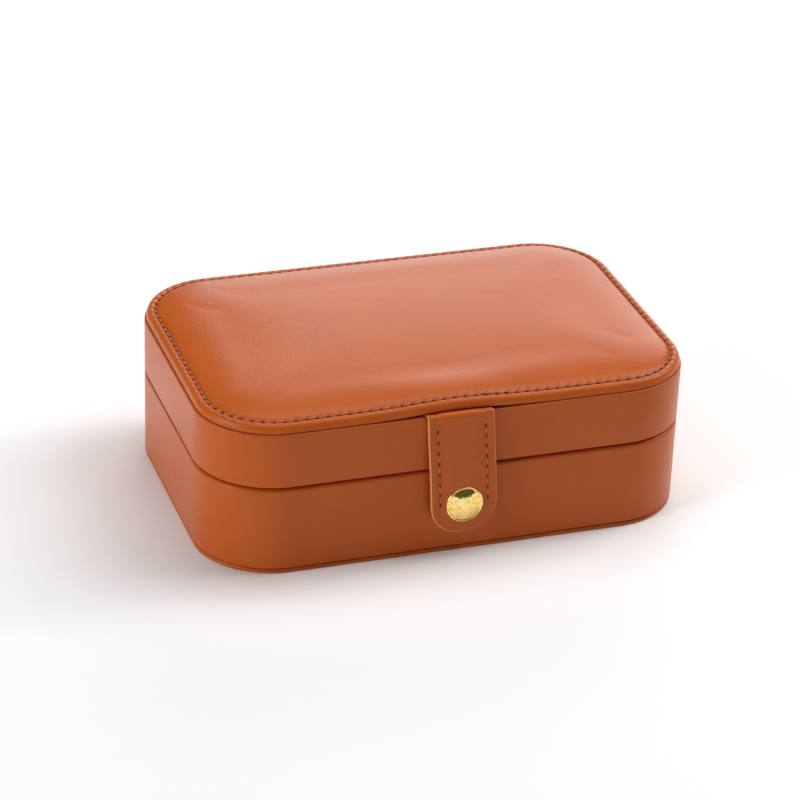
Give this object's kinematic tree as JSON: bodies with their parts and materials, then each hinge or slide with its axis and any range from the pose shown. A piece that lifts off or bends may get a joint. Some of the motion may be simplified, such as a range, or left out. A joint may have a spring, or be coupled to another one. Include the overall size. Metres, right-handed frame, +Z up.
{
  "type": "jewellery case",
  "caption": "Leather jewellery case with a padded hinged lid, a strap with a snap fastener, ring rolls, compartments with lift-out dividers and a mirror in the lid.",
  "frame": {"origin": "middle of the flat underside, at the centre of the rounded wall outline", "axes": "+X along the case's length to the viewer's right, -Y towards the strap and snap at the front, +Z up"},
  "size_m": [0.166, 0.1181, 0.0573],
  "materials": {
    "tan_leather": "satin",
    "velvet": "matte",
    "board": "matte",
    "foam": "matte",
    "mirror": "polished",
    "gilt_brass": "polished",
    "spring_steel": "polished"
  },
  "bodies": {
    "base": {"base_bottom_cover": "tan_leather", "base_floor_board": "board", "base_wall_leather": "tan_leather", "base_wall_board": "board", "base_liner_floor": "velvet", "base_liner_walls": "velvet", "ring_partition": "velvet", "ring_roll_1": "velvet", "ring_roll_2": "velvet", "ring_roll_3": "velvet", "ring_roll_4": "velvet", "ring_roll_5": "velvet", "ring_roll_6": "velvet", "ring_roll_7": "velvet", "snap_stud": "gilt_brass", "snap_stud_rivet": "gilt_brass", "hinge_leaf_base": "tan_leather"},
    "lid": {"lid_top_cover": "tan_leather", "lid_foam_pad": "foam", "lid_top_board": "board", "lid_wall_leather": "tan_leather", "lid_wall_board": "board", "lid_lining_walls": "velvet", "lid_lining_panel": "velvet", "mirror_frame": "velvet", "mirror_glass": "mirror", "mirror_backing": "board", "hinge_leaf_lid": "tan_leather", "strap_tongue": "tan_leather"},
    "strap": {"strap_leather": "tan_leather", "strap_lining": "tan_leather", "snap_cap": "gilt_brass", "snap_socket": "gilt_brass", "snap_spring": "spring_steel"},
    "divider_long": {"divider_long": "velvet"},
    "divider_short": {"divider_short": "velvet"}
  },
  "joints": [
    {"name": "lid_open", "type": "hinge", "parent": "base", "child": "lid", "pos_m": [0, 0.057, 0.031], "axis": [-1, 0, 0], "range_deg": [0, 105]},
    {"name": "strap_flex", "type": "hinge", "parent": "lid", "child": "strap", "pos_m": [-0.0022, -0.05855, 0.0506], "axis": [-1, 0, 0], "range_deg": [0, 105]},
    {"name": "divider_long_lift", "type": "slide", "parent": "base", "child": "divider_long", "axis": [0, 0, 1], "range_m": [0, 0.015]},
    {"name": "divider_short_lift", "type": "slide", "parent": "base", "child": "divider_short", "axis": [0, 0, 1], "range_m": [0, 0.015]}
  ]
}
